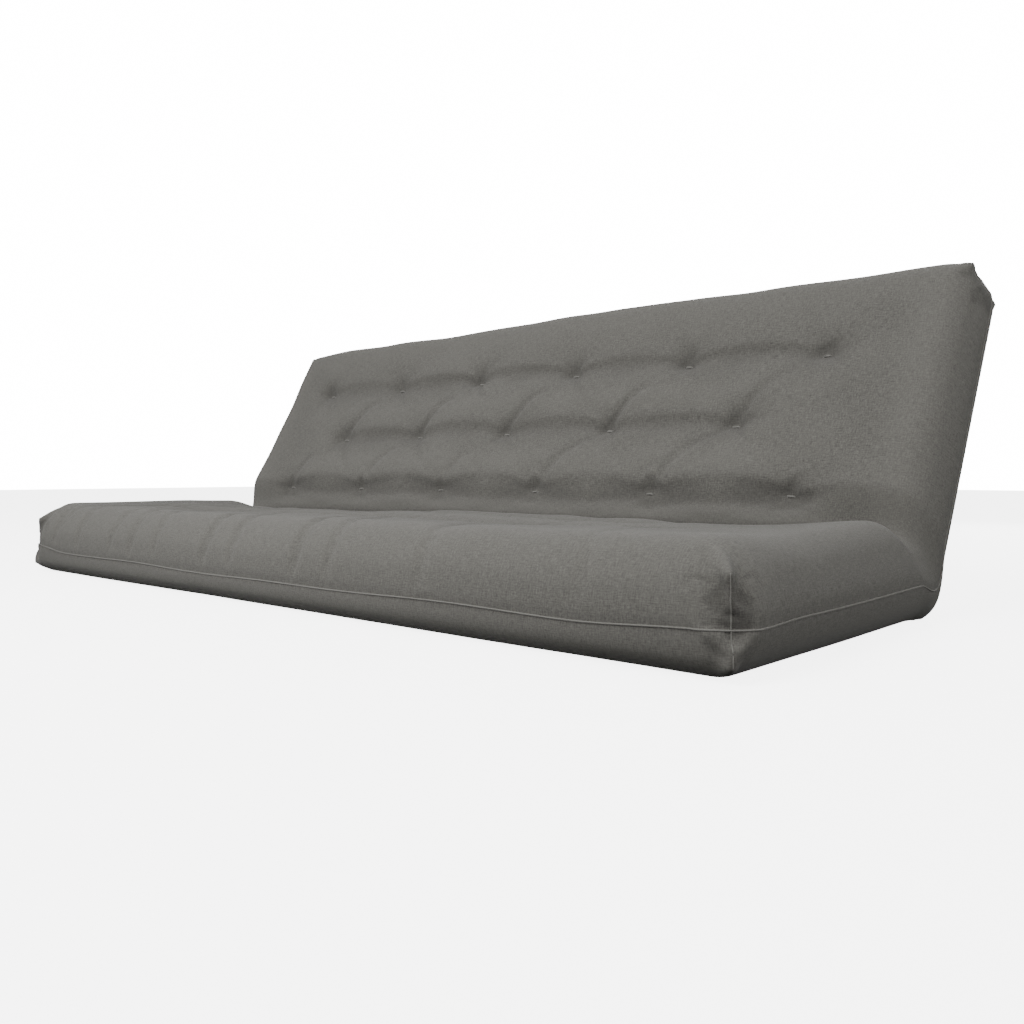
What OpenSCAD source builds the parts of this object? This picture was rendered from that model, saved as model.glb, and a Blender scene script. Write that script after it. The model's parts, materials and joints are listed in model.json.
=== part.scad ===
// Tufted futon mattress, folded as a sofa: a seat lying flat and a back leaning on it.
// The origin is on the floor, under the middle of the whole mattress. X runs across the
// sofa, +Y to the rear and +Z up. Seat and back meet in one plane that halves the angle
// between them, and the back turns about the bottom edge of that plane.

/* [Mattress] */
// Width across the sofa
mattress_w = 1900; // [1850:10:2100]
// Depth of the seat on its underside, from its front to the fold
seat_depth = 669; // [600:1:760]
// Height of the back on its rear face, from the fold to its top edge
back_height = 619; // [560:1:700]
// Thickness of seat and back
thickness = 157; // [145:1:165]
// Lean of the back from the upright, in degrees
back_lean = 29; // [25:1:40]
// Gap that each of the two meeting faces keeps from the fold's plane
fold_gap = 0.5; // [0.3:0.1:1]

/* [Cover] */
// Thickness of the cover's cloth
cloth_t = 1.5; // [1:0.1:2]
// Radius of the long edges, where the cloth turns from the faces into the sides
edge_r = 36; // [30:1:55]
// Radius of the upright edges at the outer corners
corner_r = 40; // [30:1:60]
// Height of the perimeter seam above the lower face
seam_h = 65; // [56:1:85]
// Height of the sewn ridge along the perimeter seam
seam_ridge_h = 3; // [2:0.5:5]
// Distance that the sewn ridge stands out from the cloth
seam_ridge_out = 1.5; // [1:0.5:3]

/* [Filling] */
// Thickness of each of the two layers of batting
batting_t = 41; // [30:1:45]
// Gap between the filling and the cloth, and between two layers
filling_gap = 0.3; // [0.2:0.1:0.5]

/* [Tufts] */
// Distance between neighbouring tufts in one row
tuft_pitch = 294; // [280:1:305]
// Distance between neighbouring rows of tufts
row_pitch = 147; // [145:1:150]
// Distance of the whole pattern of tufts off the middle, less than 0 to the left
tuft_shift = -16; // [-20:1:20]
// Rows of tufts on the seat, and again on the back
row_count = 3; // [1:1:3]
// Tufts in a long row; the rows between are one tuft shorter
long_row = 6; // [4:1:6]
// Depth of the dimple that a tuft pulls into each face
dimple_depth = 14; // [10:1:16]
// Radius of the sphere that forms a dimple
dimple_r = 60; // [55:1:70]
// Length of the stitch that shows in a dimple
stitch_l = 20; // [16:1:24]
// Diameter of the doubled twine
twine_d = 4; // [3:0.5:4]
// Depth at which the stitches of the fold's own tufts lie below the crease
fold_tuft_depth = 36; // [30:1:42]

/* [Hidden] */
$fn = 48;

cloth_colour = "#8b8880";
twine_colour = "#a09c93";
batting_colour = "#f1efe9";
foam_colour = "#efdf9f";

// half of the turn that folds the flat mattress into the sofa
half_fold = (90 - back_lean) / 2;
// the front and the rear of the whole mattress, which place the origin under its middle
ridge_slack = 0.1;
front_y = -seam_ridge_out - ridge_slack;
rear_y = seat_depth + (back_height - edge_r) * sin(back_lean) + edge_r * (1 - cos(back_lean));
centre_y = (front_y + rear_y) / 2;
// heights of the filling's layers between the two faces
fill_inset = cloth_t + filling_gap;
foam_low = fill_inset + batting_t;
foam_high = thickness - fill_inset - batting_t;
// clearance around the twine in the layers that it goes through
twine_gap = 0.2;
// the stitch lies on the dimple's floor, which rises a little towards its ends
stitch_lift = twine_d / 2 + pow(stitch_l / 2, 2) / (2 * dimple_r) + twine_gap;
stitch_low = dimple_depth - stitch_lift;
stitch_high = thickness - stitch_low;
// the fold's own tufts run along its plane, this far inside the seat
fold_tuft_in = twine_d + fold_gap;
fold_length = thickness / cos(half_fold);
fold_stitch_low = (stitch_low + fold_tuft_in * sin(half_fold)) / cos(half_fold);
fold_stitch_high = fold_length - fold_tuft_depth + stitch_lift;
// clear of every size, for the ends of cutting solids
over = 10;

// Tufts in row k, counted from the fold's own row 0, which is a short one
function tufts_in(k) = k % 2 == 1 ? long_row : long_row - 1;

// Places [x, v] of the tufts in row k, where v is the distance from the fold
function row_places(k) = [
    for (i = [0:tufts_in(k) - 1])
        [(i - (tufts_in(k) - 1) / 2) * tuft_pitch + tuft_shift, k * row_pitch]
];

// Places of all the tufts of the seat, or of the back
function tuft_places() = [for (k = [1:row_count]) each row_places(k)];

// A section is modelled lying flat: x across, y away from the fold and z its thickness.

// Outline of a section seen from above, with its two outer corners rounded
module plan_outline(length, inset) {
    translate([inset - mattress_w / 2, -over])
        square([mattress_w - 2 * inset, length - corner_r + over]);
    translate([corner_r - mattress_w / 2, -over])
        square([mattress_w - 2 * corner_r, length - inset + over]);
    for (side = [-1, 1])
        translate([side * (mattress_w / 2 - corner_r), length - corner_r])
            circle(corner_r - inset);
}

// Outline of a section seen from its end: slanted at the fold and round at the far edge.
// It reaches past the fold's plane by reach, in a solid that cuts another
module side_outline(length, inset, reach) {
    slant = thickness * tan(half_fold);
    difference() {
        union() {
            translate([-over, inset])
                square([length - edge_r + over, thickness - 2 * inset]);
            translate([0, edge_r])
                square([length - inset, thickness - 2 * edge_r]);
            for (z = [edge_r, thickness - edge_r])
                translate([length - edge_r, z])
                    circle(edge_r - inset);
        }
        translate([fold_gap / cos(half_fold) - reach, 0])
            polygon([
                [-slant - 2 * over, -thickness],
                [-slant, -thickness],
                [2 * slant, 2 * thickness],
                [-slant - 2 * over, 2 * thickness],
            ]);
    }
}

// Outline of a section seen from the front, round along both ends
module front_outline(inset) {
    half_w = mattress_w / 2;
    translate([edge_r - half_w, inset])
        square([mattress_w - 2 * edge_r, thickness - 2 * inset]);
    translate([inset - half_w, edge_r])
        square([mattress_w - 2 * inset, thickness - 2 * edge_r]);
    for (side = [-1, 1], z = [edge_r, thickness - edge_r])
        translate([side * (half_w - edge_r), z])
            circle(edge_r - inset);
}

// One sphere that forms a dimple, turned so that its poles and its seam are outside the cloth
module dimple(inset, upper) {
    rotate([0, upper ? -90 : 90, 0])
        sphere(dimple_r + inset);
}

// The dimples in both faces, and those of the fold's own tufts
module dimples(inset) {
    sink = dimple_depth - dimple_r;
    for (place = concat(tuft_places(), row_places(0)))
        translate([place.x, place.y, sink])
            dimple(inset, false);
    for (place = tuft_places())
        translate([place.x, place.y, thickness - sink])
            dimple(inset, true);
    for (place = row_places(0))
        translate([place.x, 0, 0])
            rotate([-half_fold, 0, 0])
                translate([0, 0, fold_length - fold_tuft_depth + dimple_r])
                    dimple(inset, true);
}

// The space of one section, with every face but the fold's moved in by inset
module block(length, inset, reach = 0) {
    difference() {
        intersection() {
            translate([-mattress_w / 2 - over, 0, 0])
                rotate([90, 0, 90])
                    linear_extrude(mattress_w + 2 * over)
                        side_outline(length, inset, reach);
            translate([0, length + over, 0])
                rotate([90, 0, 0])
                    linear_extrude(length + 3 * over)
                        front_outline(inset);
            linear_extrude(thickness)
                plan_outline(length, inset);
        }
        dimples(inset);
    }
}

// Everything of a section between two heights
module slice(length, low, high) {
    translate([-mattress_w / 2 - over, -over, low])
        cube([mattress_w + 2 * over, length + 2 * over, high - low]);
}

// One tuft: doubled twine through the mattress, with a stitch at each end
module tuft(low, high, gap = 0) {
    r = twine_d / 2 + gap;
    translate([0, 0, low])
        cylinder(h = high - low, r = r);
    for (z = [low, high])
        translate([-stitch_l / 2 - gap, 0, z])
            rotate([0, 90, 0])
                cylinder(h = stitch_l + 2 * gap, r = r);
}

// The tufts of the seat, or of the back
module tuft_set(gap = 0) {
    for (place = tuft_places())
        translate([place.x, place.y, 0])
            tuft(stitch_low, stitch_high, gap);
}

// The fold's own row of tufts, along the seat's slanted face
module fold_tuft_set(gap = 0) {
    for (place = row_places(0))
        translate([place.x, 0, 0])
            rotate([-half_fold, 0, 0])
                translate([0, fold_tuft_in, 0])
                    tuft(fold_stitch_low, fold_stitch_high, gap);
}

// A layer of a section, with the holes that the twine goes through
module layer(length, inset, low, high, with_fold_tufts) {
    difference() {
        intersection() {
            block(length, inset);
            slice(length, low, high);
        }
        tuft_set(twine_gap);
        if (with_fold_tufts)
            fold_tuft_set(twine_gap);
    }
}

// One panel of the cover, up to the perimeter seam or down to it
module panel(length, low, high, with_fold_tufts) {
    difference() {
        intersection() {
            block(length, 0);
            slice(length, low, high);
        }
        block(length, cloth_t, over / 2);
        tuft_set(twine_gap);
        if (with_fold_tufts)
            fold_tuft_set(twine_gap);
    }
}

// The sewn ridge that runs along the perimeter seam of one section
module seam(length) {
    intersection() {
        translate([0, 0, seam_h - seam_ridge_h / 2])
            linear_extrude(seam_ridge_h)
                difference() {
                    plan_outline(length, -seam_ridge_out - ridge_slack);
                    plan_outline(length, -ridge_slack);
                }
        translate([-mattress_w / 2 - over, 0, 0])
            rotate([90, 0, 90])
                linear_extrude(mattress_w + 2 * over)
                    side_outline(length + over, 0, 0);
    }
}

// Places of the two sections: the seat runs forwards from the fold, the back leans behind it
module as_seat() {
    translate([0, seat_depth - centre_y, 0])
        mirror([0, 1, 0])
            children();
}

module as_back() {
    translate([0, seat_depth - centre_y, 0])
        rotate([90 - back_lean, 0, 0])
            children();
}

module seat_top_panel() {
    color(cloth_colour)
        as_seat()
            panel(seat_depth, seam_h, thickness + over, true);
}

module seat_bottom_panel() {
    color(cloth_colour)
        as_seat()
            panel(seat_depth, -over, seam_h, true);
}

module seat_seam() {
    color(twine_colour)
        as_seat()
            seam(seat_depth);
}

module seat_upper_batting() {
    color(batting_colour)
        as_seat()
            layer(seat_depth, fill_inset, foam_high + filling_gap, thickness, true);
}

module seat_foam_core() {
    color(foam_colour)
        as_seat()
            layer(seat_depth, fill_inset, foam_low, foam_high, true);
}

module seat_lower_batting() {
    color(batting_colour)
        as_seat()
            layer(seat_depth, fill_inset, 0, foam_low - filling_gap, true);
}

module seat_tufts() {
    color(twine_colour)
        as_seat()
            tuft_set();
}

module fold_tufts() {
    color(twine_colour)
        as_seat()
            fold_tuft_set();
}

module back_top_panel() {
    color(cloth_colour)
        as_back()
            panel(back_height, seam_h, thickness + over, false);
}

module back_bottom_panel() {
    color(cloth_colour)
        as_back()
            panel(back_height, -over, seam_h, false);
}

module back_seam() {
    color(twine_colour)
        as_back()
            seam(back_height);
}

module back_upper_batting() {
    color(batting_colour)
        as_back()
            layer(back_height, fill_inset, foam_high + filling_gap, thickness, false);
}

module back_foam_core() {
    color(foam_colour)
        as_back()
            layer(back_height, fill_inset, foam_low, foam_high, false);
}

module back_lower_batting() {
    color(batting_colour)
        as_back()
            layer(back_height, fill_inset, 0, foam_low - filling_gap, false);
}

module back_tufts() {
    color(twine_colour)
        as_back()
            tuft_set();
}

seat_top_panel();
seat_bottom_panel();
seat_seam();
seat_upper_batting();
seat_foam_core();
seat_lower_batting();
seat_tufts();
fold_tufts();
back_top_panel();
back_bottom_panel();
back_seam();
back_upper_batting();
back_foam_core();
back_lower_batting();
back_tufts();
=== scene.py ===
"""A tufted futon mattress folded as a sofa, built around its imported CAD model.

The cover is one sewn cloth around one filling. It is draped over the filling while the mattress
lies flat, because that is how it is stuffed and tufted.

Flat coordinates start at the fold's axis: x runs across, y from the front of the seat (negative)
to the top edge of the back (positive), and z up from the underside. All lengths are in metres.
"""

import json
import math

import bpy
import numpy as np
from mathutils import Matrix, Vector


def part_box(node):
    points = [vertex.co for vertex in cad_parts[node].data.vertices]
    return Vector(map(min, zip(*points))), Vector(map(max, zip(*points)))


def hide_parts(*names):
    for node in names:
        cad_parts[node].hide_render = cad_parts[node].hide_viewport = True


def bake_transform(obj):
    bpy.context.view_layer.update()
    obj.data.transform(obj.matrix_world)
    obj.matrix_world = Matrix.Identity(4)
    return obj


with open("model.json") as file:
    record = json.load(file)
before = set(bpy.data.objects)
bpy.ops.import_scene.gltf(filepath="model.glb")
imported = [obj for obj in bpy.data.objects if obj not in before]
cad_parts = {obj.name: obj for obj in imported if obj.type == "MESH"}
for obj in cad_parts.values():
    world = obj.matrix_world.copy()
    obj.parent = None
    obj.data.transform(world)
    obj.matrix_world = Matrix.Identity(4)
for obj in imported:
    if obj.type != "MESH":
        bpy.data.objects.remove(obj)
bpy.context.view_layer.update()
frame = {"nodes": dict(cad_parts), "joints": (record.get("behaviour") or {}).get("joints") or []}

# ---------------- sizes, from the frame
FOLD = frame["joints"][0]
FOLD_TURN = math.radians(-FOLD["range_deg"][0])
HINGE = Vector(FOLD["pos_m"])
UP_THE_BACK = Vector((0, math.cos(FOLD_TURN), math.sin(FOLD_TURN)))


def reach(node, direction):
    """How far a CAD node reaches from the fold's axis in one direction."""
    vertices = frame["nodes"][node].data.vertices
    return max((vertex.co - HINGE).dot(direction) for vertex in vertices)


HALF_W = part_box("seat_top_panel")[1].x
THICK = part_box("seat_top_panel")[1].z
SEAM_Z = (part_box("seat_seam")[0].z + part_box("seat_seam")[1].z) / 2
SEAT_DEPTH = reach("seat_bottom_panel", Vector((0, -1, 0)))
BACK_HEIGHT = reach("back_bottom_panel", UP_THE_BACK)

STITCH = 0.020
TWINE = 0.004
ROWS_EACH_WAY = 3
LONG_ROW = 6
tuft_low, tuft_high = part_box("seat_tufts")
TUFT_PITCH = (tuft_high.x - tuft_low.x - STITCH) / (LONG_ROW - 1)
TUFT_SHIFT = (tuft_high.x + tuft_low.x) / 2
ROW_PITCH = (HINGE.y - tuft_low.y - TWINE / 2) / ROWS_EACH_WAY
ROWS = range(-ROWS_EACH_WAY, ROWS_EACH_WAY + 1)


def row_of_tufts(row):
    """x of each tuft in a row, counted from the fold's own row 0, which is a short one."""
    count = LONG_ROW if row % 2 else LONG_ROW - 1
    return [(place - (count - 1) / 2) * TUFT_PITCH + TUFT_SHIFT for place in range(count)]


TUFTS = [(x, row * ROW_PITCH, row) for row in ROWS for x in row_of_tufts(row)]

# ---------------- how it is stuffed and sewn
# Height that the filling would reach between the tufts, and the radius of its long edges
LOFT = THICK + 0.005
EDGE = 0.040
# What the front's long edge has more of radius, because it is sat on
FRONT_ROUNDING = 0.030
# How far the walls lean in from the seam, their widest place, to the upper and the lower face
UPPER_LEAN = 0.013
LOWER_LEAN = 0.004
# How much further the two ends stand out at the seam
END_BULGE = 0.011
# How far the front's seam droops in the middle, and what is left of it at the right end
SEAM_DROOP = 0.015
RIGHT_DROOP = 0.005
# Distances from the fold between which the droop grows towards the front
FRONT_MARGIN = (0.50, 0.65)
# How far the back's top edge hangs lower at its left end, and stands higher at its right end
LEFT_SAG = 0.022
RIGHT_RISE = 0.004
# How far sitting has pressed down the seat beside the fold, and over what distance
SAT_DOWN = 0.024
SAT_WIDTH = 0.22
# Distances from the middle between which it fades, because nobody sits on the two ends
SAT_ENDS = (0.70, 0.90)
# Height at which the filling is neither the upper side's nor the lower side's
MIDDLE = 0.078
# Height over which the furrows and dimples fade from either face towards that middle
RELIEF_FADE = 0.03
# How far below the floor the filling would bulge if nothing held it up
BELOW_FLOOR = 0.002
# Height of the stitch in the upper and in the lower face
UPPER_STITCH_Z = THICK - 0.019
FOLD_STITCH_Z = THICK - 0.038
LOWER_STITCH_Z = 0.013
# Width of the strip across the fold in which the cloth turns from the seat to the back
FOLD_STRIP = 0.12
# Cells of the coarsest cloth: across, between the ends and the outermost tufts, and along,
# between the front, the outer row, the fold, the top row and the top edge
CELLS_ACROSS = (8, 60, 9)
CELLS_ALONG = (10, 18, 18, 7)
UPPER_FLAP_CELLS = 4
LOWER_FLAP_CELLS = 3
# Pleats that run from the front row over the front edge: place, depth and lean across
FRONT_PLEATS = (
    (-0.83, 0.0030, 0.03),
    (-0.71, 0.0045, -0.02),
    (-0.55, 0.0035, -0.03),
    (-0.46, 0.0060, -0.01),
    (-0.36, 0.0035, 0.03),
    (-0.17, 0.0075, -0.02),
    (-0.08, 0.0040, 0.03),
    (0.12, 0.0080, -0.03),
    (0.21, 0.0040, 0.03),
    (0.43, 0.0030, -0.02),
    (0.73, 0.0020, -0.02),
)
PLEAT_WIDTH = 0.0080
# The filling is pressed this many times a pleat's depth, because the cloth bridges the groove
PLEAT_PRESS = 2.8

# ---------------- relief of the two faces
MAP_STEP = 0.003
MAP_X = np.arange(-1.0, 1.0, MAP_STEP)
MAP_Y = np.arange(-0.76, 0.72, MAP_STEP)


def smooth_step(value, start, end):
    """0 before start, 1 after end and a smooth rise between them."""
    t = np.clip((value - start) / (end - start), 0, 1)
    return t * t * (3 - 2 * t)


def resample(values, count):
    """Cubic resampling of the first axis to count points, leaving out the two ends."""
    place = np.linspace(1, values.shape[0] - 3, count)
    i = np.floor(place).astype(int)
    t = (place - i)[:, None]
    a, b, c, d = values[i - 1], values[i], values[i + 1], values[i + 2]
    bend = (2 * a - 5 * b + 4 * c - d) * t**2 + (3 * b - a - 3 * c + d) * t**3
    return b + 0.5 * ((c - a) * t + bend)


def smooth_noise(shape, cells, seed, height):
    """Smooth random heights over a grid, with one bump in about every so many cells."""
    rng = np.random.default_rng(seed)
    coarse = rng.standard_normal([int(side / cells) + 4 for side in shape])
    return height * resample(resample(coarse, shape[0]).T, shape[1]).T


def curve(start, control, end, count=9):
    """Points along a curve that leaves start towards control and reaches end from it."""
    t = np.linspace(0, 1, count)[:, None]
    start, control, end = (np.array(point) for point in (start, control, end))
    return (1 - t) ** 2 * start + 2 * t * (1 - t) * control + t**2 * end


def press_groove(depths, route, depth, upper, lower=None, fade=(1, 1)):
    """Presses a groove along a route into a map of depths, where it isn't deeper already.

    upper and lower are the groove's widths on the two sides of the route, and fade is what is
    left of its depth at the route's start and end.
    """
    route = np.array(route)
    lower = lower or upper
    margin = 3 * max(upper, lower)
    i0, i1 = np.searchsorted(MAP_X, (route[:, 0].min() - margin, route[:, 0].max() + margin))
    j0, j1 = np.searchsorted(MAP_Y, (route[:, 1].min() - margin, route[:, 1].max() + margin))
    x = MAP_X[i0:i1, None]
    y = MAP_Y[None, j0:j1]
    steps = np.diff(route, axis=0)
    lengths = np.hypot(steps[:, 0], steps[:, 1])
    starts = np.cumsum(lengths) - lengths
    nearest = np.full((i1 - i0, j1 - j0), 9.0)
    share = np.zeros_like(nearest)
    above = np.zeros(nearest.shape, bool)
    for (px, py), (dx, dy), length, start in zip(route, steps, lengths, starts):
        t = np.clip(((x - px) * dx + (y - py) * dy) / length**2, 0, 1)
        off_y = y - py - t * dy
        distance = np.hypot(x - px - t * dx, off_y)
        closer = distance < nearest
        nearest[closer] = distance[closer]
        share[closer] = ((start + t * length) / lengths.sum())[closer]
        above[closer] = (off_y > 0)[closer]
    width = np.where(above, upper, lower)
    strength = depth * (fade[0] + (fade[1] - fade[0]) * share)
    pressed = strength * np.exp(-((nearest / width) ** 2))
    np.maximum(depths[i0:i1, j0:j1], pressed, out=depths[i0:i1, j0:j1])


def empty_map():
    return np.zeros((len(MAP_X), len(MAP_Y)))


def press_rows(depths, rng):
    """The furrows from tuft to tuft. On the back they arch up, and the cloth above overhangs."""
    for row in ROWS:
        on_back = row > 0
        y = row * ROW_PITCH
        arch = 0.012 if on_back else 0.0
        upper, lower = (0.013, 0.045) if on_back else (0.032, 0.032)
        depth = {1: 0.0270, 2: 0.0140, 3: 0.0120}.get(row, 0.0140)
        places = row_of_tufts(row)
        for left, right in zip(places, places[1:]):
            t = np.linspace(0, 1, 11)
            rise = arch * rng.uniform(0.7, 1.2) * np.sin(np.pi * t) ** 0.7
            route = np.stack([left + (right - left) * t, y + rise], 1)
            press_groove(depths, route, depth * rng.uniform(0.8, 1.15), upper, lower)
        for side, x in ((-1, places[0]), (1, places[-1])):
            run = rng.uniform(0.08, 0.12)
            route = ((x, y), (x + side * run, y + rng.uniform(-0.01, 0.02)))
            press_groove(depths, route, 0.010, upper, lower, fade=(1, 0))


def press_diagonals(depths, rng):
    """The creases between neighbouring rows: strong to the upper right, weak to the left.

    The two rolls beside the fold have none.
    """
    for row in list(ROWS)[:-1]:
        if row in (-1, 0):
            continue
        low_y = row * ROW_PITCH
        for x in row_of_tufts(row):
            for next_x in row_of_tufts(row + 1):
                across = next_x - x
                if abs(across) > 0.6 * TUFT_PITCH:
                    continue
                if across > 0:
                    depth = 0.0135 if row > 0 else 0.0070
                    bend = (x + 0.28 * across, low_y + 0.70 * ROW_PITCH)
                    stop = rng.uniform(0.50, 0.90)
                    end = (x + stop * across, low_y + (stop + 0.03) * ROW_PITCH)
                    route = curve((x, low_y), bend, end)
                    depth *= rng.uniform(0.6, 1.2)
                    press_groove(depths, route, depth, 0.0080, fade=(1, 0.1))
                else:
                    start = (next_x, low_y + ROW_PITCH)
                    stop = rng.uniform(0.35, 0.9)
                    bend = (next_x - 0.3 * stop * across, low_y + ROW_PITCH * (1 - 0.6 * stop))
                    end = (next_x - stop * across, low_y + ROW_PITCH * (1 - stop))
                    depth = rng.uniform(0.0010, 0.0075)
                    press_groove(depths, curve(start, bend, end), depth, 0.0085, fade=(1, 0.1))


def press_short_creases(depths, rng):
    """Short creases that run out from every tuft in any direction."""
    for x, y, row in TUFTS:
        for turn in rng.uniform(0, 2 * math.pi, 4):
            run = rng.uniform(0.025, 0.060)
            end = (x + run * math.cos(turn), y + run * math.sin(turn))
            press_groove(depths, ((x, y), end), rng.uniform(0.003, 0.009), 0.0070, fade=(1, 0))


def press_margin_creases(depths, rng):
    """Creases from the back's top row to its top edge, and into the rolls beside the fold."""
    for row, heading, deepest in ((ROWS_EACH_WAY, 1, 0.006), (1, -1, 0.010), (-1, 1, 0.009)):
        y = row * ROW_PITCH
        for x in row_of_tufts(row):
            for turn in rng.uniform(-1.1, 1.1, 2):
                run = rng.uniform(0.05, 0.10)
                end = (x + run * math.sin(turn), y + heading * run * math.cos(turn))
                depth = deepest * rng.uniform(0.35, 1.0)
                press_groove(depths, ((x, y), end), depth, 0.0085, fade=(1, 0))


def press_front_pleats(depths):
    """The part of the front pleats that lies on the upper face, from the front row's tufts."""
    y = -ROWS_EACH_WAY * ROW_PITCH
    places = row_of_tufts(ROWS_EACH_WAY)
    for x, depth, lean in FRONT_PLEATS:
        tuft = min(places, key=lambda place: abs(place - x))
        bend = (0.5 * (tuft + x) + lean, 0.6 * y - 0.4 * SEAT_DEPTH)
        route = curve((tuft, y), bend, (x, -SEAT_DEPTH - 0.03))
        press_groove(depths, route, PLEAT_PRESS * depth, PLEAT_WIDTH, fade=(0.5, 1))


def dimples(wide, narrow):
    """Depths of the dimples at all tufts. wide and narrow are a depth and a radius each."""
    depths = empty_map()
    for x, y, row in TUFTS:
        distance2 = (MAP_X[:, None] - x) ** 2 + (MAP_Y[None] - y) ** 2
        depth = sum(deep * np.exp(-distance2 / radius**2) for deep, radius in (wide, narrow))
        np.maximum(depths, depth, out=depths)
    return depths


def upper_relief():
    """Heights of the upper face's filling above its mean surface."""
    rng = np.random.default_rng(11)
    rows = empty_map()
    creases = empty_map()
    press_rows(rows, rng)
    press_diagonals(creases, rng)
    press_short_creases(creases, rng)
    press_margin_creases(creases, rng)
    press_front_pleats(creases)
    pits = dimples((0.008, 0.050), (0.013, 0.018))
    shape = rows.shape
    lumps = smooth_noise(shape, 26, 3, 0.0013) + smooth_noise(shape, 90, 4, 0.0034)
    creases *= 1 - 0.5 * np.clip(pits / pits.max(), 0, 1)
    sat = SAT_DOWN * np.exp(-((MAP_Y / SAT_WIDTH) ** 2)) * (1 - smooth_step(MAP_Y, -0.02, 0.05))
    sat = sat * (1 - smooth_step(np.abs(MAP_X), *SAT_ENDS))[:, None]
    return lumps - np.maximum(rows, pits) - creases - sat


def lower_relief():
    """Depths of the lower face's filling, which only the tufts draw in."""
    pits = dimples((0.016, 0.045), (0.012, 0.020))
    return pits + smooth_noise(pits.shape, 66, 5, 0.0012)


UPPER_RELIEF = upper_relief()
LOWER_RELIEF = lower_relief()


def look_up(relief, x, y):
    i = np.clip(((x - MAP_X[0]) / MAP_STEP + 0.5).astype(np.int32), 0, len(MAP_X) - 1)
    j = np.clip(((y - MAP_Y[0]) / MAP_STEP + 0.5).astype(np.int32), 0, len(MAP_Y) - 1)
    return relief[i, j]


def wall_pleats(x, z):
    """Depths of the front pleats where they run down the front wall to the seam."""
    down = smooth_step(z, SEAM_Z - 0.01, SEAM_Z + 0.06)
    return sum(
        PLEAT_PRESS * depth * np.exp(-(((x - place) / PLEAT_WIDTH) ** 2)) * down
        for place, depth, _ in FRONT_PLEATS
    )


def top_edge(x):
    """y of the back's top edge, which sags to the left and is a little uneven."""
    sag = LEFT_SAG * np.clip((0.2 - x) / 1.1, 0, 1) - RIGHT_RISE * smooth_step(x, 0.5, 0.95)
    return BACK_HEIGHT - sag + 0.0015 * np.sin(9.0 * x + 1.0) + 0.0010 * np.sin(23.0 * x)


def seam_height(x, y):
    """Height of the seam, which was sewn by hand and waves a little."""
    wave = 0.0022 * np.sin(5.3 * x + 2.0 * y) + 0.0012 * np.sin(14.0 * x + 9.0 * y + 1.0)
    return SEAM_Z + wave - seam_drop(x, y)


def front_rounding(y):
    """What the edges near the front have more of radius."""
    return FRONT_ROUNDING * (1 - smooth_step(y, -SEAT_DEPTH, -SEAT_DEPTH + 0.15))


def seam_drop(x, y):
    """How far the front's seam droops: in full along the middle, and not at the left end."""
    at_ends = SEAM_DROOP * smooth_step(-x, 0.76, 0.95)
    at_ends = at_ends + (SEAM_DROOP - RIGHT_DROOP) * smooth_step(x, 0.70, 0.95)
    return (SEAM_DROOP - at_ends) * smooth_step(-y, *FRONT_MARGIN)


def wall_lean(z):
    """How far the walls lean in at a height, from the seam to both faces."""
    upper = UPPER_LEAN * smooth_step(z, SEAM_Z, THICK)
    return upper + LOWER_LEAN * smooth_step(-z, -SEAM_Z, 0)


def seam_draw(z):
    """How far the seam's thread draws the walls in at a height."""
    return 0.0015 * np.exp(-(((z - SEAM_Z) / 0.008) ** 2)) - 0.003


def filling_depth(points):
    """How deep each point lies inside the filling, a round-edged block with a relief."""
    x, y, z = points
    above = z > MIDDLE
    up = z - MIDDLE - look_up(UPPER_RELIEF, x, y) * np.clip((z - MIDDLE) / RELIEF_FADE, 0, 1)
    down = MIDDLE - z + look_up(LOWER_RELIEF, x, y) * np.clip((MIDDLE - z) / RELIEF_FADE, 0, 1)
    edge = EDGE + front_rounding(y) * smooth_step(z, 0.02, SEAM_Z)
    from_seam = z + seam_drop(x, y)
    lean = wall_lean(from_seam)
    draw = seam_draw(from_seam)
    ends = END_BULGE * smooth_step(z, 0, SEAM_Z) * (1 - smooth_step(z, SEAM_Z, THICK))
    front = -SEAT_DEPTH + lean + draw + np.where(y < 0, wall_pleats(x, z), 0)
    top = top_edge(x) - draw
    over_x = np.abs(x) - (HALF_W - edge - lean - draw + ends)
    over_y = np.maximum(front + edge - y, y - top + edge)
    over_z = np.where(above, up - (LOFT - MIDDLE - edge), down - (MIDDLE + BELOW_FLOOR - edge))
    outside = np.sqrt(sum(np.maximum(over, 0) ** 2 for over in (over_x, over_y, over_z)))
    inside = np.minimum(np.maximum(np.maximum(over_x, over_y), over_z), 0)
    return edge - outside - inside


# ---------------- the cover's cloth
# Share of its error that one pass mends in a link that is too short, and in a diagonal link
STRETCH_PUSH = 0.25
SHEAR = 0.35
# Bending of each refinement: how many cells it spans, and its strength
BENDING = {1: ((2, 0.08),), 2: ((2, 0.10),), 4: ((2, 0.12), (4, 0.05))}
# Rounds at each refinement, and the share of its depth that a round pushes a point out
ROUNDS = {1: 300, 2: 220, 4: 170}
PUSH_OUT = {1: 0.10, 2: 0.07, 4: 0.05}
# What weight adds to a point's move in one round of the coarsest cloth
WEIGHT = 2.6e-5
# Pull of the cotton on cloth that stands off it, which lets creases settle into the furrows
CLING = 6.0e-5
# Share of its last move that a point keeps
MOMENTUM = 0.90
# Depth in the filling beyond which cloth is pushed out no harder
DEEPEST_PUSH = 0.02
# Random unevenness of the coarsest cloth, which starts the small wrinkles
CRUMPLE = 0.0006
# Share of the way that one pass brings the seam to its own height
SEAM_PULL = 0.2
# Distance between the neighbouring points that one stitch holds
PIN_SPACING = 0.0055
# Length that a quarter round saves over a sharp corner, as a share of its radius
ROUND_SAVES = 2 - math.pi / 2


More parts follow.
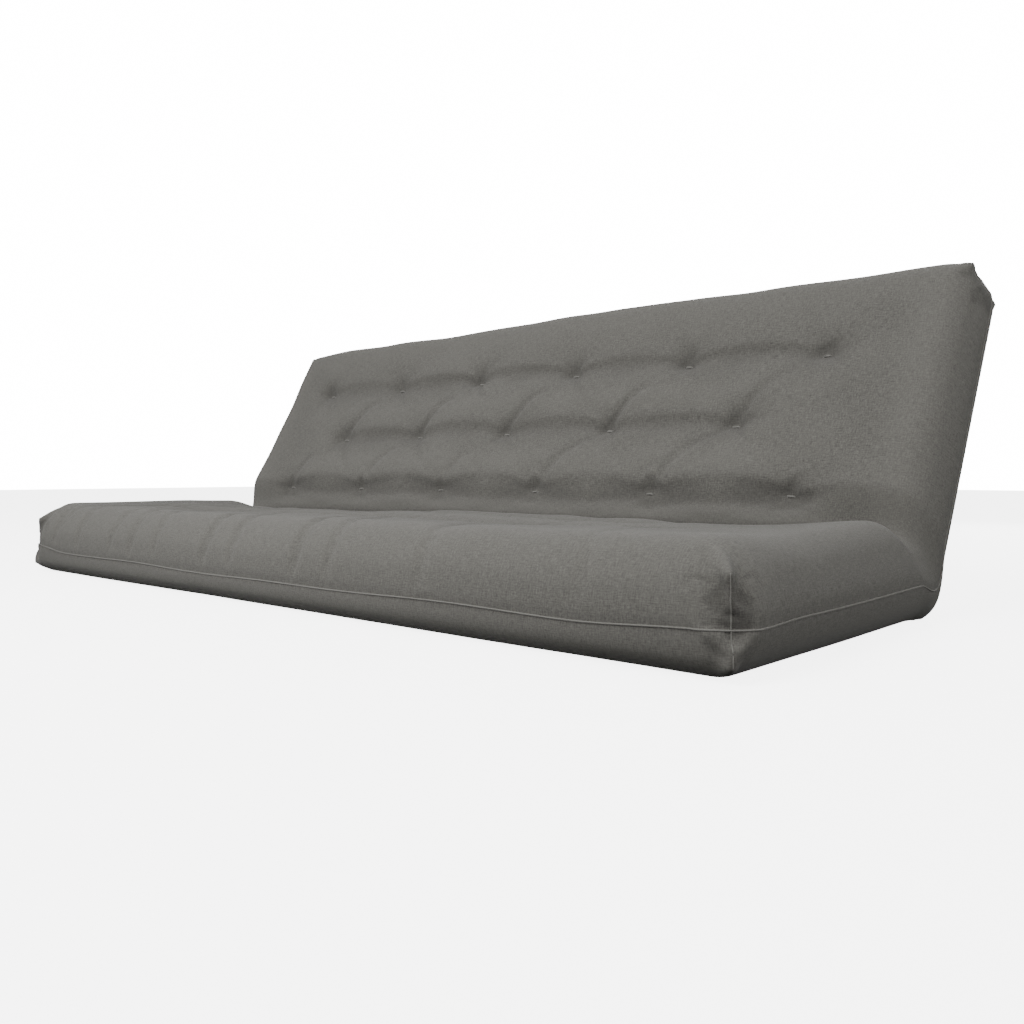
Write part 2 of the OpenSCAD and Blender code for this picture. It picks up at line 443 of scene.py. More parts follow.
def stitch_height(upper, row):
    """Height of the stitches of one row in the upper or the lower face."""
    if not upper:
        return LOWER_STITCH_Z
    return UPPER_STITCH_Z if row else FOLD_STITCH_Z


class Panel:
    """One panel of the cover: a grid of cloth points with a flap along each of its four sides.

    The corners of the grid are cut out, and a dart joins the two edges of each cut.
    """

    def __init__(self, upper, refinement):
        self.upper = upper
        self.refinement = refinement
        self.flap = refinement * (UPPER_FLAP_CELLS if upper else LOWER_FLAP_CELLS)
        self.across = refinement * sum(CELLS_ACROSS)
        self.along = refinement * sum(CELLS_ALONG)
        self.shape = (self.across + 1 + 2 * self.flap, self.along + 1 + 2 * self.flap)
        i = np.arange(self.shape[0])
        j = np.arange(self.shape[1])
        long_row = row_of_tufts(ROWS_EACH_WAY)
        outer = ROWS_EACH_WAY * ROW_PITCH
        knots = np.cumsum((0, *CELLS_ACROSS)) * refinement
        self.x = np.interp(i - self.flap, knots, (-HALF_W, long_row[0], long_row[-1], HALF_W))
        knots = np.cumsum((0, *CELLS_ALONG)) * refinement
        self.y = np.interp(j - self.flap, knots, (-SEAT_DEPTH, -outer, 0, outer, BACK_HEIGHT))
        in_x = (i >= self.flap) & (i <= self.flap + self.across)
        in_y = (j >= self.flap) & (j <= self.flap + self.along)
        self.sound = in_x[:, None] | in_y[None]
        cell_x = in_x[:-1] & in_x[1:]
        cell_y = in_y[:-1] & in_y[1:]
        self.cells = cell_x[:, None] | cell_y[None]
        self.out_x = np.maximum(self.flap - i, i - self.flap - self.across).clip(0) / self.flap
        self.out_y = np.maximum(self.flap - j, j - self.flap - self.along).clip(0) / self.flap
        height = LOFT - SEAM_Z if upper else SEAM_Z + BELOW_FLOOR
        self.flap_length = height - ROUND_SAVES * EDGE + 0.002
        self.cell_x = np.where(cell_x, np.diff(self.x), self.flap_length / self.flap)
        self.cell_y = np.where(cell_y, np.diff(self.y), self.flap_length / self.flap)

    def start(self):
        """The flat cloth just over the filling, with its flaps turned to the seam."""
        z = LOFT - 0.003 if self.upper else 0.003
        out = np.maximum(self.out_x[:, None], self.out_y[None]).clip(0, 1)
        points = np.empty((3, *self.shape), np.float32)
        points[0] = self.x[:, None]
        points[1] = self.y[None]
        points[2] = z + (SEAM_Z - z) * out
        return points

    def trims(self, x, y):
        """By what share the margins and flaps are cut longer, across and along.

        They are shorter where a wall leans, an edge is rounder or the top edge sags, and the
        flaps meet the front's seam where it droops.
        """
        outer = ROWS_EACH_WAY * ROW_PITCH
        end = row_of_tufts(ROWS_EACH_WAY)[-1]
        lean = UPPER_LEAN if self.upper else LOWER_LEAN
        trim_x = 0 * y - lean / (HALF_W - end) * (np.abs(x) > end)
        trim_y = np.where(y > outer, (top_edge(x) - outer) / (BACK_HEIGHT - outer) - 1, 0)
        trim_y = trim_y - lean / (SEAT_DEPTH - outer) * (y < -outer)
        if self.upper:
            longer = seam_drop(x, y) - ROUND_SAVES * front_rounding(y)
        else:
            longer = -seam_drop(x, y)
        longer = longer / self.flap_length
        trim_x = trim_x + longer * (self.out_x[:, None] > 0)
        trim_y = trim_y + longer * (self.out_y[None] > 0)
        return trim_x, trim_y

    def slack(self):
        """By what share the cloth is longer than the filling, across and along."""
        x = self.x[:, None]
        y = self.y[None]
        inner_x = 1 - smooth_step(np.abs(x), 0.72, 0.90)
        inner_y = 1 - smooth_step(np.abs(y), 0.46, 0.58)
        trim_x, trim_y = self.trims(x, y)
        if not self.upper:
            across = 0.005 + smooth_noise(self.shape, 12 * self.refinement, 23, 0.003)
            along = 0.004 + smooth_noise(self.shape, 12 * self.refinement, 24, 0.003) * inner_x
            return across + trim_x, along + trim_y
        gather = 0.011 + smooth_noise(self.shape, 10 * self.refinement, 21, 0.006)
        across = 0.005 + inner_y * gather
        along = 0.022 + smooth_noise(self.shape, 10 * self.refinement, 22, 0.007)
        along = 0.001 + inner_x * inner_y * along
        along = along + 0.020 * inner_x * np.exp(-((y / 0.14) ** 2))
        along = along + 0.030 * inner_x * np.exp(-(((y - 1.4 * ROW_PITCH) / 0.05) ** 2))
        at_front = smooth_step(-y, 0.46, 0.52)
        for place, depth, _ in FRONT_PLEATS:
            across = across + 14.0 * depth * at_front * np.exp(-(((x - place) / 0.022) ** 2))
        return across + trim_x, along + trim_y

    def pins(self):
        """Grid places that the tufts hold, and the points that they hold them at."""
        half = self.refinement // 2
        places = []
        points = []
        for x, y, row in TUFTS:
            i = int(np.argmin(np.abs(self.x - x)))
            j = int(np.argmin(np.abs(self.y - y)))
            for step in range(-half, half + 1):
                places.append((i + step, j))
                points.append((x + step * PIN_SPACING, y, stitch_height(self.upper, row)))
        i, j = np.array(places).T
        return i, j, np.array(points, np.float32).T

    def flat(self, i, j):
        """Index of a grid place in the flattened grid."""
        return i * self.shape[1] + j

    def darts(self):
        """The pairs of places that the four corner darts join, from the seam to the corner."""
        last_i = self.shape[0] - 1
        last_j = self.shape[1] - 1
        k = np.arange(self.flap)
        edge = np.full_like(k, self.flap)
        pairs = []
        for turn_i in (False, True):
            for turn_j in (False, True):
                first = [last_i - edge if turn_i else edge, last_j - k if turn_j else k]
                second = [last_i - k if turn_i else k, last_j - edge if turn_j else edge]
                pairs.append((self.flat(*first), self.flat(*second)))
        return pairs

    def rim(self):
        """The places along the seam, in order around the mattress from the front left."""
        last_i = self.shape[0] - 1
        last_j = self.shape[1] - 1
        i = np.arange(self.flap, self.flap + self.across + 1)
        j = np.arange(self.flap, self.flap + self.along + 1)
        sides = (
            self.flat(i, 0 * i),
            self.flat(last_i + 0 * j, j),
            self.flat(i[::-1], last_j + 0 * i),
            self.flat(0 * j, j[::-1]),
        )
        return np.concatenate(sides)

    def normals(self, points):
        """Outward normals at the cloth's points."""
        along_i = np.gradient(points, axis=1)
        along_j = np.gradient(points, axis=2)
        normal = np.cross(along_i, along_j, axis=0)
        normal /= np.sqrt((normal * normal).sum(0)) + 1e-12
        return normal if self.upper else -normal

    def links(self, held):
        """All the links of the cloth, in groups that use no point twice."""
        slack_x, slack_y = self.slack()
        rest_x = self.cell_x[:, None] * (1 + 0.5 * (slack_x[:-1] + slack_x[1:]))
        rest_y = self.cell_y[None] * (1 + 0.5 * (slack_y[:, :-1] + slack_y[:, 1:]))
        sound_x = self.sound[:-1] & self.sound[1:]
        sound_y = self.sound[:, :-1] & self.sound[:, 1:]
        mean_x = 0.5 * (rest_x[:, :-1] + rest_x[:, 1:])
        mean_y = 0.5 * (rest_y[:-1] + rest_y[1:])
        diagonal = np.hypot(mean_x, mean_y)
        found = make_links(held, 1, 0, rest_x, sound_x, 1.0, STRETCH_PUSH)
        found += make_links(held, 0, 1, rest_y, sound_y, 1.0, STRETCH_PUSH)
        for lean in (1, -1):
            found += make_links(held, 1, lean, diagonal, self.cells, SHEAR, 0.6 * SHEAR)
        for span, strength in BENDING[self.refinement]:
            long_x = sum(rest_x[k : rest_x.shape[0] - span + 1 + k] for k in range(span))
            long_y = sum(rest_y[:, k : rest_y.shape[1] - span + 1 + k] for k in range(span))
            all_x = [sound_x[k : sound_x.shape[0] - span + 1 + k] for k in range(span)]
            all_y = [sound_y[:, k : sound_y.shape[1] - span + 1 + k] for k in range(span)]
            found += make_links(held, span, 0, long_x, np.all(all_x, 0), 0.0, strength)
            found += make_links(held, 0, span, long_y, np.all(all_y, 0), 0.0, strength)
        return found


def make_links(held, di, dj, rest, sound, pull, push):
    """Links between the places (i, j) and (i + di, j + dj), as groups of slices.

    rest has the lengths at rest and sound says which links lie in the cloth. pull and push are
    the shares of a link's error that one pass mends when it is too long and too short.
    """
    count_i, count_j = rest.shape
    step = di or dj
    found = []
    for first in range(2 * step):
        if di:
            part = (slice(first, count_i, 2 * step), slice(None))
            a_i = slice(first, count_i, 2 * step)
            b_i = slice(first + di, count_i + di, 2 * step)
            a_j = slice(max(-dj, 0), max(-dj, 0) + count_j)
            b_j = slice(max(dj, 0), max(dj, 0) + count_j)
        else:
            part = (slice(None), slice(first, count_j, 2 * step))
            a_i = b_i = slice(None)
            a_j = slice(first, count_j, 2 * step)
            b_j = slice(first + dj, count_j + dj, 2 * step)
        free_a = ~held[a_i, a_j]
        free_b = ~held[b_i, b_j]
        both = np.maximum(free_a.astype(int) + free_b, 1)
        share_a = (free_a / both * sound[part]).astype(np.float32)
        share_b = (free_b / both * sound[part]).astype(np.float32)
        a = (slice(None), a_i, a_j)
        b = (slice(None), b_i, b_j)
        found.append((a, b, rest[part].astype(np.float32), share_a, share_b, pull, push))
    return found


def mend(points, link):
    """Moves the two ends of each link of one group towards its length at rest."""
    a, b, rest, share_a, share_b, pull, push = link
    start = points[a]
    end = points[b]
    gap = end - start
    length = np.sqrt(gap[0] * gap[0] + gap[1] * gap[1] + gap[2] * gap[2])
    error = 1 - rest / np.maximum(length, 1e-6)
    error *= np.where(error > 0, np.float32(pull), np.float32(push))
    start += gap * (error * share_a)
    end -= gap * (error * share_b)


def sew(first, second, places_a, places_b):
    """Brings the paired points of two flattened grids together."""
    middle = 0.5 * (first[:, places_a] + second[:, places_b])
    first[:, places_a] = middle
    second[:, places_b] = middle


def refine(points):
    """The same cloth with its cells halved."""
    _, n, m = points.shape
    finer = np.empty((3, 2 * n - 1, 2 * m - 1), points.dtype)
    finer[:, ::2, ::2] = points
    finer[:, 1::2, ::2] = 0.5 * (points[:, 1:] + points[:, :-1])
    finer[:, :, 1::2] = 0.5 * (finer[:, :, :-1:2] + finer[:, :, 2::2])
    return finer


def pull_of_weight(panel):
    """Gravity on each point: down on the seat, and down the leaning back."""
    on_back = 0.5 + 0.5 * np.clip(panel.y / 0.08, -1, 1)
    pull = np.zeros((3, 1, len(panel.y)), np.float32)
    pull[1, 0] = -math.sin(FOLD_TURN) * on_back
    pull[2, 0] = -(1 - on_back) - math.cos(FOLD_TURN) * on_back
    return pull * np.float32(WEIGHT / panel.refinement)


def drape():
    """Lays the two panels round the filling, sewn together and held by the tufts."""
    cloths = None
    for refinement in (1, 2, 4):
        panels = [Panel(True, refinement), Panel(False, refinement)]
        if cloths is None:
            cloths = [panel.start() for panel in panels]
        else:
            cloths = [refine(points) for points in cloths]
        pins = [panel.pins() for panel in panels]
        links = []
        for panel, points, (i, j, _) in zip(panels, cloths, pins):
            rng = np.random.default_rng(100 + 10 * refinement + panel.upper)
            crumple = rng.normal(0, CRUMPLE / refinement, panel.shape).astype(np.float32)
            points += panel.normals(points) * crumple
            held = np.zeros(panel.shape, bool)
            held[i, j] = True
            links.append(panel.links(held))
        weights = [pull_of_weight(panel) for panel in panels]
        before = [points.copy() for points in cloths]
        for _ in range(ROUNDS[refinement]):
            for number, (panel, points) in enumerate(zip(panels, cloths)):
                depth = filling_depth(points)
                push = PUSH_OUT[refinement] * np.clip(depth, 0, DEEPEST_PUSH)
                push -= CLING / refinement * (depth < 0)
                push = panel.normals(points) * push.astype(np.float32)
                move = (points - before[number]) * np.float32(MOMENTUM)
                before[number] = points.copy()
                points += move + weights[number] + push
                np.maximum(points[2], 0, out=points[2])
                i, j, pinned = pins[number]
                points[:, i, j] = pinned
            for _ in range(2):
                for panel, points, groups in zip(panels, cloths, links):
                    for link in groups:
                        mend(points, link)
                    flat = points.reshape(3, -1)
                    for first, second in panel.darts():
                        sew(flat, flat, first, second)
                upper, lower = (points.reshape(3, -1) for points in cloths)
                rims = [panel.rim() for panel in panels]
                sew(upper, lower, *rims)
                seam_z = upper[2, rims[0]]
                seam_z += SEAM_PULL * (seam_height(*upper[:2, rims[0]]) - seam_z)
                upper[2, rims[0]] = seam_z
                lower[2, rims[1]] = seam_z
    return panels, [points.astype(float) for points in cloths]


# ---------------- from flat to the sofa
def to_sofa(points):
    """Carries flat points, one to a row, to where they lie on the sofa.

    A point's angle around the axis is found by Newton's method such that the share takes it
    back to where it lies flat.
    """
    x, y, z = np.asarray(points, float).T
    radius = np.hypot(y, z)
    flat_angle = np.arctan2(y, z)
    angle = flat_angle.copy()
    for _ in range(60):
        across = np.clip(0.5 + radius * np.sin(angle) / FOLD_STRIP, 0, 1)
        share = across * across * (3 - 2 * across)
        slope = 6 * across * (1 - across) / FOLD_STRIP * radius * np.cos(angle)
        error = angle + (share - 0.5) * FOLD_TURN - flat_angle
        angle -= error / (1 + FOLD_TURN * np.maximum(slope, 0))
    angle -= FOLD_TURN / 2
    height = np.maximum(radius * np.cos(angle), 0)
    return np.stack([x, radius * np.sin(angle) + HINGE.y, height + HINGE.z], 1)


def add_piece(name, points, faces, material, replaced):
    """Makes a smooth mesh from flat points and lays it on the sofa."""
    mesh = bpy.data.meshes.new(name)
    mesh.from_pydata(to_sofa(points).tolist(), [], [list(face) for face in faces])
    mesh.polygons.foreach_set("use_smooth", [True] * len(mesh.polygons))
    mesh.materials.append(material)
    piece = bpy.data.objects.new(name, mesh)
    bpy.context.scene.collection.objects.link(piece)
    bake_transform(piece)
    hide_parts(*replaced)
    return piece


# ---------------- the cover as one mesh
def welded(pairs, count):
    """For each of count points, the lowest point that the pairs join it to."""
    owner = np.arange(count)
    for _ in range(4):
        for first, second in pairs:
            lowest = np.minimum(owner[first], owner[second])
            owner[first] = lowest
            owner[second] = lowest
    return owner


def crests(panel, points):
    """How much each point stands out from the cloth around it, from -1 in a crease to 1."""
    full_height = 0.008
    span = 3 * panel.refinement
    around = np.zeros_like(points)
    padded = np.pad(points, ((0, 0), (span, span), (span, span)), mode="edge")
    for axis in (1, 2):
        for shift in (-span, span):
            moved = np.roll(padded, shift, axis)
            around += moved[:, span:-span, span:-span] / 4
    out = ((points - around) * panel.normals(points)).sum(0)
    return np.clip(out / full_height, -1, 1)


def add_cover(panels, cloths, material):
    """The two panels of the cover as one closed cloth, joined at the seam and the darts."""
    offset = cloths[0][0].size
    pairs = [(panels[0].rim(), panels[1].rim() + offset)]
    pairs += panels[0].darts()
    pairs += [(first + offset, second + offset) for first, second in panels[1].darts()]
    points = np.concatenate([cloth.reshape(3, -1).T for cloth in cloths])
    owner = welded(pairs, len(points))
    corners = []
    cloth_places = []
    for panel, start in zip(panels, (0, offset)):
        i, j = np.nonzero(panel.cells)
        ring = [(i, j), (i + 1, j), (i + 1, j + 1), (i, j + 1)]
        ring = ring if panel.upper else ring[::-1]
        corners.append(np.stack([panel.flat(*place) + start for place in ring], 1))
        u = np.concatenate(([0], np.cumsum(panel.cell_x)))
        v = np.concatenate(([0], np.cumsum(panel.cell_y)))
        grid = np.stack(np.meshgrid(u, v, indexing="ij"), -1)
        cloth_places.append(grid.reshape(-1, 2))
    corners = np.concatenate(corners)
    cloth_places = np.concatenate(cloth_places)
    used, faces = np.unique(owner[corners], return_inverse=True)
    faces = faces.reshape(corners.shape)
    replaced = [
        f"{section}_{part}"
        for section in ("seat", "back")
        for part in ("top_panel", "bottom_panel", "upper_batting", "foam_core", "lower_batting")
    ]
    cover = add_piece("mattress_cover", points[used], faces, material, replaced)
    layer = cover.data.uv_layers.new(name="cloth")
    layer.data.foreach_set("uv", cloth_places[corners].astype(np.float32).ravel())
    crest = np.concatenate([crests(*pair).ravel() for pair in zip(panels, cloths)])
    attribute = cover.data.attributes.new("crest", "FLOAT", "POINT")
    attribute.data.foreach_set("value", crest[used].astype(np.float32))


# ---------------- tubes: seam, darts and twine
class Tubes:
    """Collects tubes along routes into the points and faces of one mesh."""

    def __init__(self):
        self.points = []
        self.faces = []

    def add(self, route, radii, sides=8, closed=False, twist=0.0, ply=0.0):
        """A tube along a route. ply makes it as two plies that turn once in twist metres."""
        route = np.asarray(route, float)
        count = len(route)
        radii = np.broadcast_to(radii, (count,))
        if closed:
            tangent = np.roll(route, -1, 0) - np.roll(route, 1, 0)
        else:
            tangent = np.gradient(route, axis=0)
        tangent /= np.linalg.norm(tangent, axis=1)[:, None]
        helper = np.where(np.abs(tangent[:, 2:]) > 0.9, [[0.0, 1.0, 0.0]], [[0.0, 0.0, 1.0]])
        side = np.cross(helper, tangent)
        side /= np.linalg.norm(side, axis=1)[:, None]
        over = np.cross(tangent, side)
        run = np.concatenate(([0], np.cumsum(np.linalg.norm(np.diff(route, axis=0), axis=1))))
        first = sum(len(part) for part in self.points)
        for k in range(count):
            turn = 2 * math.pi * np.arange(sides) / sides
            phase = 2 * math.pi * run[k] / twist if twist else 0
            radius = radii[k] * (1 + ply * np.cos(2 * (turn - phase)))[:, None]
            ring = np.cos(turn)[:, None] * side[k] + np.sin(turn)[:, None] * over[k]
            self.points.append(route[k] + radius * ring)
        rings = count if closed else count - 1
        for k in range(rings):
            a = first + k * sides
            b = first + (k + 1) % count * sides
            for q in range(sides):
                after = (q + 1) % sides
                self.faces.append((a + q, b + q, b + after, a + after))
        if not closed:
            last = first + (count - 1) * sides
            self.faces.append(tuple(first + q for q in range(sides)))
            self.faces.append(tuple(last + q for q in reversed(range(sides))))


def resample_route(route, step, closed=False):
    """Points at even steps along a route."""
    if closed:
        route = np.concatenate([route, route[:1]])
    lengths = np.linalg.norm(np.diff(route, axis=0), axis=1)
    run = np.concatenate(([0], np.cumsum(lengths)))
    count = max(int(run[-1] / step), 4)
    wanted = np.linspace(0, run[-1], count, endpoint=not closed)
    return np.stack([np.interp(wanted, run, route[:, k]) for k in range(3)], 1)


def add_seam(panels, cloths, material):
    """The ridge of the perimeter seam, and the finer ridges of the eight corner darts."""
    ridge = 0.0014
    tubes = Tubes()
    rim = cloths[0].reshape(3, -1).T[panels[0].rim()]
    apart = np.linalg.norm(rim - np.roll(rim, 1, 0), axis=1) > 1e-5
    route = resample_route(rim[apart], 0.0030, closed=True)
    beat = 1 + 0.07 * np.cos(np.arange(len(route)) * math.pi)
    tubes.add(route, ridge * beat, closed=True)
    for panel, cloth in zip(panels, cloths):
        points = cloth.reshape(3, -1).T
        for number, (first, _) in enumerate(panel.darts()):
            i = panel.flap if number < 2 else panel.shape[0] - 1 - panel.flap
            j = panel.flap if number % 2 == 0 else panel.shape[1] - 1 - panel.flap
            corner = points[panel.flat(i, j)]
            route = resample_route(np.concatenate([points[first], corner[None]]), 0.0030)
            radii = np.linspace(0.8 * ridge, 0.5 * ridge, len(route))
            tubes.add(route, radii)
    points = np.concatenate(tubes.points)
    replaced = ("seat_seam", "back_seam")
    add_piece("perimeter_seam", points, tubes.faces, material, replaced)


def stitch_route(x, y, z, out, rng):
    """One strand of a stitch, which comes out of the cloth and goes back in."""
    t = np.linspace(-1, 1, 15)
    lean = rng.uniform(-0.0012, 0.0012)
    along = x + 0.5 * STITCH * t
    beside = y + lean * t
    height = z + out * (0.0022 - 0.0085 * np.abs(t) ** 5)
    return np.stack([along, beside, height], 1)


def add_tufts(material):
    """The stitches of doubled twine in both faces, with a knot and two ends below each."""
    rng = np.random.default_rng(31)
    tubes = Tubes()
    strand = TWINE / 4
    knot_size = 0.0021
    for x, y, row in TUFTS:
        for out in (1, -1):
            z = stitch_height(out > 0, row)
            for beside in (-strand, strand):
                route = stitch_route(x, y + beside, z, out, rng)
                tubes.add(route, strand, sides=10, twist=0.006, ply=0.14)
        t = np.linspace(0, 2 * math.pi, 40, endpoint=False)
        knot = np.stack(
            [
                x + knot_size * (np.sin(t) + 2 * np.sin(2 * t)) * 0.7,
                y + knot_size * (np.cos(t) - 2 * np.cos(2 * t)) * 0.7,
                LOWER_STITCH_Z - 0.0038 - knot_size * 0.5 * np.sin(3 * t),
            ],
            1,
        )
        tubes.add(knot, strand, closed=True, twist=0.006, ply=0.14)
        for side in (-1, 1):
            turn = rng.uniform(-0.8, 0.8)
            run = np.linspace(0, rng.uniform(0.014, 0.020), 12)
            sway = 0.0012 * np.sin(run / 0.020 * math.pi)
            drop = 0.0045 + 0.25 * run
            tail = np.stack(
                [
                    x + side * (run * math.cos(turn) - sway * math.sin(turn)),
                    y + side * (run * math.sin(turn) + sway * math.cos(turn)),
                    LOWER_STITCH_Z - drop,
                ],
                1,
            )
            tubes.add(tail, strand * 0.9, twist=0.006, ply=0.14)
    points = np.concatenate(tubes.points)
    replaced = ("seat_tufts", "back_tufts", "fold_tufts")
    add_piece("tuft_stitches", points, tubes.faces, material, replaced)


# ---------------- materials
class Nodes:
    """A short way to build a material's node tree."""

    def __init__(self, name, roughness):
        self.material = bpy.data.materials.new(name)
        self.material.use_nodes = True
        self.tree = self.material.node_tree
        self.shader = self.tree.nodes["Principled BSDF"]
        self.shader.inputs["Roughness"].default_value = roughness
        self.shader.inputs["Specular IOR Level"].default_value = 0.25

    def add(self, kind, values=None, **settings):
        node = self.tree.nodes.new(kind)
        for key, value in settings.items():
            setattr(node, key, value)
        for key, value in (values or {}).items():
            if isinstance(value, bpy.types.NodeSocket):
                self.tree.links.new(value, node.inputs[key])
            else:
                node.inputs[key].default_value = value
        return node

    def math(self, operation, a, b=0.0):
        return self.add("ShaderNodeMath", {0: a, 1: b}, operation=operation).outputs[0]

    def scaled(self, vector, scale):
        values = {0: vector, 1: scale}
        return self.add("ShaderNodeVectorMath", values, operation="MULTIPLY").outputs[0]

    def noise(self, vector, scale, detail=2.0, roughness=0.5):
        values = {"Vector": vector, "Scale": scale, "Detail": detail, "Roughness": roughness}
        return self.add("ShaderNodeTexNoise", values).outputs["Fac"]

    def ramp(self, factor, low, high, start, end):
        node = self.add("ShaderNodeValToRGB", {"Fac": factor})
        node.color_ramp.elements[0].position = start
        node.color_ramp.elements[1].position = end
        node.color_ramp.elements[0].color = (*low, 1)
        node.color_ramp.elements[1].color = (*high, 1)
        return node.outputs["Color"]

    def mix(self, factor, a, b):
        node = self.add("ShaderNodeMix", data_type="RGBA")
        for socket, value in ((node.inputs[0], factor), (node.inputs[6], a), (node.inputs[7], b)):
            if isinstance(value, bpy.types.NodeSocket):
                self.tree.links.new(value, socket)
            else:
                socket.default_value = value
        return node.outputs[2]

    def colour(self, socket):
        self.tree.links.new(socket, self.shader.inputs["Base Color"])

    def bump(self, height, distance, strength=1.0):
        values = {"Height": height, "Distance": distance, "Strength": strength}
        node = self.add("ShaderNodeBump", values)
        self.tree.links.new(node.outputs["Normal"], self.shader.inputs["Normal"])


def cloth_material():
    """A matte grey canvas: a plain weave of uneven yarns, worn pale on its crests, and darker in
    its creases with dust and painted shade.
    """
    n = Nodes("grey_canvas", 0.92)
    n.shader.inputs["Sheen Weight"].default_value = 0.10
    n.shader.inputs["Sheen Roughness"].default_value = 0.55
    cloth = n.add("ShaderNodeUVMap", uv_map="cloth").outputs["UV"]
    warp = n.noise(n.scaled(cloth, (620.0, 70.0, 1.0)), 1.0, 3.0, 0.6)
    weft = n.noise(n.scaled(cloth, (70.0, 620.0, 1.0)), 1.0, 3.0, 0.6)
    yarns = n.math("MULTIPLY", n.math("ADD", warp, weft), 0.5)
    fleck = n.noise(n.scaled(cloth, (330.0, 330.0, 1.0)), 1.0, 5.0, 0.8)
    blotch = n.noise(n.scaled(cloth, (9.0, 9.0, 1.0)), 1.0, 4.0, 0.55)
    pattern = n.math("ADD", n.math("MULTIPLY", yarns, 0.55), n.math("MULTIPLY", fleck, 0.45))
    base = n.ramp(pattern, (0.048, 0.0465, 0.0415), (0.150, 0.146, 0.132), 0.40, 0.60)
    base = n.mix(n.math("MULTIPLY", blotch, 0.35), base, (0.105, 0.102, 0.092, 1.0))
    crest = n.add("ShaderNodeAttribute", attribute_name="crest").outputs["Fac"]
    worn = n.math("MULTIPLY", n.math("MAXIMUM", crest, 0.0), 0.22)
    # Darker in the creases, read from the crest attribute: partly dust, partly painted shade that
    # stands in for occlusion.
    crease_dust_and_shade = n.math("MULTIPLY", n.math("MAXIMUM", n.math("MULTIPLY", crest, -1.0), 0.0), 0.28)
    base = n.mix(worn, base, (0.155, 0.151, 0.138, 1.0))
    base = n.mix(crease_dust_and_shade, base, (0.045, 0.043, 0.039, 1.0))
    n.colour(base)
    parts = n.add("ShaderNodeSeparateXYZ", {0: n.scaled(cloth, (4200.0, 4200.0, 1.0))}).outputs
    weave = n.math("MULTIPLY", n.math("SINE", parts[0]), n.math("SINE", parts[1]))
    height = n.math("ADD", n.math("MULTIPLY", weave, 0.30), pattern)
    n.bump(height, 0.0006, 0.55)
    return n.material


def seam_material():
    """The seam's ridge: the same canvas folded double, paler where it is rubbed."""
    n = Nodes("seam_canvas", 0.88)
    n.shader.inputs["Sheen Weight"].default_value = 0.15
    place = n.add("ShaderNodeTexCoord").outputs["Object"]
    fleck = n.noise(place, 900.0, 3.0, 0.6)
    rub = n.noise(place, 40.0, 3.0, 0.5)
    base = n.ramp(fleck, (0.10, 0.097, 0.088), (0.18, 0.176, 0.162), 0.3, 0.7)
    base = n.mix(n.math("MULTIPLY", rub, 0.4), base, (0.19, 0.186, 0.172, 1.0))
    n.colour(base)
    n.bump(fleck, 0.0004, 0.5)
    return n.material


def twine_material():
    """Waxed tufting twine: pale grey plies with darker grooves and a dull gloss."""
    n = Nodes("tufting_twine", 0.62)
    place = n.add("ShaderNodeTexCoord").outputs["Object"]
    fibre = n.noise(n.scaled(place, (300.0, 1600.0, 1600.0)), 1.0, 4.0, 0.6)
    grime = n.noise(place, 160.0, 2.0, 0.5)
    base = n.ramp(fibre, (0.11, 0.107, 0.099), (0.27, 0.265, 0.247), 0.3, 0.7)
    base = n.mix(n.math("MULTIPLY", grime, 0.35), base, (0.14, 0.137, 0.127, 1.0))
    n.colour(base)
    n.bump(fibre, 0.0003, 0.6)
    return n.material


def floor_material():
    """A plain pale studio floor with a faint unevenness, which glows and so looks near white."""
    n = Nodes("pale_floor", 0.85)
    place = n.add("ShaderNodeTexCoord").outputs["Object"]
    n.colour(n.ramp(n.noise(place, 1.5), (0.84, 0.84, 0.84), (0.87, 0.87, 0.87), 0.3, 0.7))
    n.shader.inputs["Emission Color"].default_value = (1.0, 1.0, 1.0, 1)
    n.shader.inputs["Emission Strength"].default_value = 5.0
    return n.material


# ---------------- camera, lights and floor
# Where the camera stands, from the seat's front right corner on the floor
CAMERA_FROM_CORNER = Vector((0.5254, -0.9539, 0.2400))
# Degrees that it looks down, degrees that it looks to the left, and its focal length in mm
CAMERA_DOWN = 2.41
CAMERA_LEFT = 41.92
CAMERA_LENS = 33.69


def add_camera():
    """A camera low in front of the seat's right end, which looks along the sofa."""
    front_right = Vector((HALF_W, HINGE.y - SEAT_DEPTH, 0))
    data = bpy.data.cameras.new("camera")
    data.lens = CAMERA_LENS
    camera = bpy.data.objects.new("camera", data)
    camera.location = front_right + CAMERA_FROM_CORNER
    camera.rotation_euler = (math.radians(90 - CAMERA_DOWN), 0, math.radians(CAMERA_LEFT))
    bpy.context.scene.collection.objects.link(camera)
    bpy.context.scene.camera = camera


def add_light(name, place, target, size, watts):
    """A soft square light that faces a target."""
    data = bpy.data.lights.new(name, "AREA")
    data.size = size
    data.energy = watts
    light = bpy.data.objects.new(name, data)
    light.location = place
    facing = Vector(target) - Vector(place)
    light.rotation_euler = facing.to_track_quat("-Z", "Y").to_euler()
    bpy.context.scene.collection.objects.link(light)


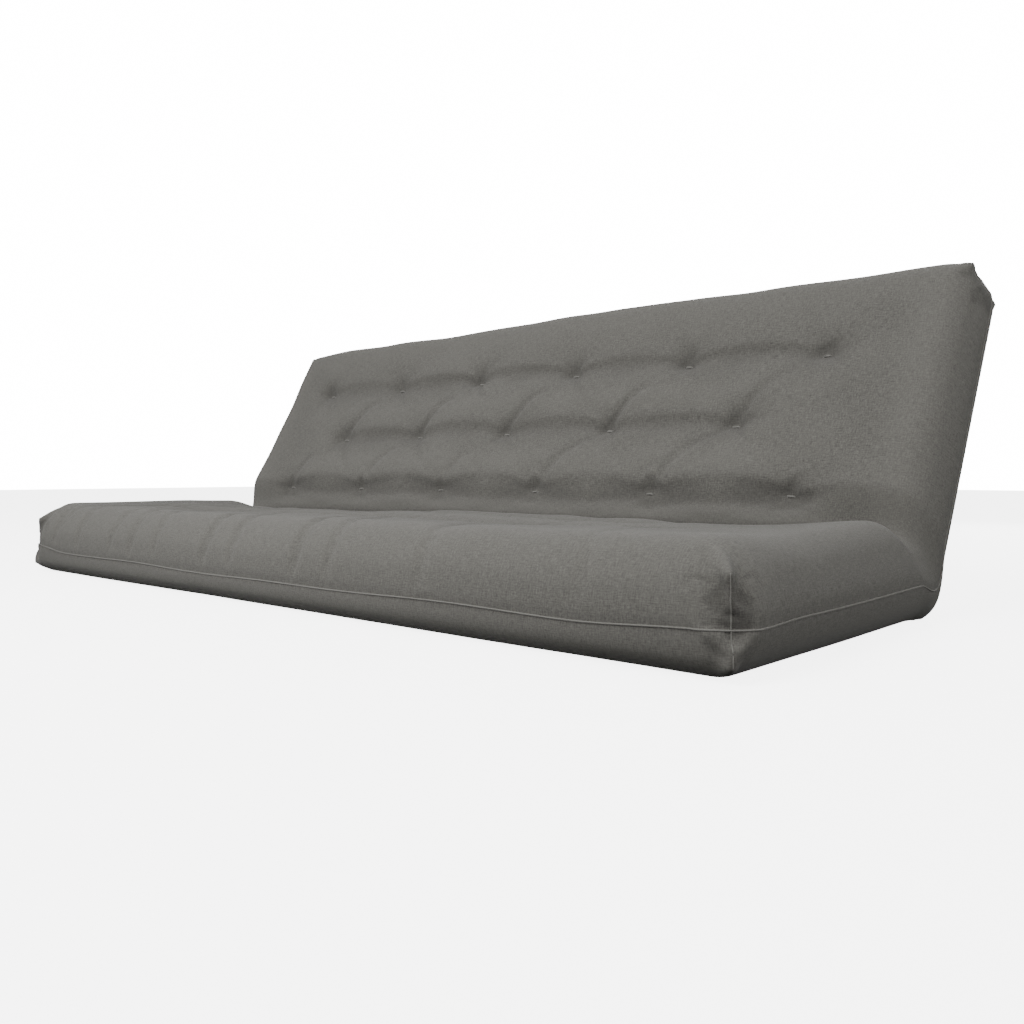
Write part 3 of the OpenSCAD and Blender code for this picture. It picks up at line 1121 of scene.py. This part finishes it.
def add_sky():
    """Soft light from above the horizon, little from below it, and a white backdrop."""
    world = bpy.data.worlds.new("studio")
    world.use_nodes = True
    tree = world.node_tree

    def node(kind, **inputs):
        made = tree.nodes.new(kind)
        for name, value in inputs.items():
            made.inputs[name.replace("_", " ")].default_value = value
        return made

    direction = node("ShaderNodeTexCoord")
    height = node("ShaderNodeSeparateXYZ")
    sky = node("ShaderNodeMapRange", From_Min=-0.05, From_Max=0.30, To_Min=0.06, To_Max=0.44)
    path = node("ShaderNodeLightPath")
    backdrop = tree.nodes.new("ShaderNodeMath")
    backdrop.operation = "MULTIPLY"
    backdrop.inputs[1].default_value = 16.0
    brightest = tree.nodes.new("ShaderNodeMath")
    brightest.operation = "MAXIMUM"
    background = tree.nodes["Background"]
    background.inputs["Color"].default_value = (1.0, 1.0, 1.0, 1)
    tree.links.new(direction.outputs["Generated"], height.inputs[0])
    tree.links.new(height.outputs["Z"], sky.inputs["Value"])
    tree.links.new(path.outputs["Is Camera Ray"], backdrop.inputs[0])
    tree.links.new(sky.outputs["Result"], brightest.inputs[0])
    tree.links.new(backdrop.outputs[0], brightest.inputs[1])
    tree.links.new(brightest.outputs[0], background.inputs["Strength"])
    bpy.context.scene.world = world


def add_studio():
    """A pale floor that throws no light back up, a key, a light overhead and four fills."""
    mesh = bpy.data.meshes.new("floor")
    far = 12.0
    corners = [(-far, -far), (far, -far), (far, far), (-far, far)]
    mesh.from_pydata([(x, y, -0.001) for x, y in corners], [], [(0, 1, 2, 3)])
    mesh.materials.append(floor_material())
    floor = bpy.data.objects.new("floor", mesh)
    floor.visible_diffuse = False
    floor.visible_glossy = False
    bpy.context.scene.collection.objects.link(floor)
    middle = (0, 0, 0.25)
    add_light("key", (0.1, -2.2, 2.5), middle, 1.8, 88)
    add_light("overhead", (0.2, 0.2, 2.8), middle, 2.2, 10)
    add_light("left_fill", (-2.8, -1.8, 1.6), middle, 1.8, 22)
    add_light("right_fill", (2.9, -0.2, 1.3), middle, 1.6, 31)
    add_light("front_fill", (0.0, -2.0, 0.5), (0.0, -0.4, 0.1), 1.3, 14)
    add_light("rear_fill", (0.3, 3.0, 1.5), middle, 2.0, 45)
    add_sky()


# ---------------- the mattress
add_camera()
add_studio()
panels, cloths = drape()
add_cover(panels, cloths, cloth_material())
add_seam(panels, cloths, seam_material())
add_tufts(twine_material())
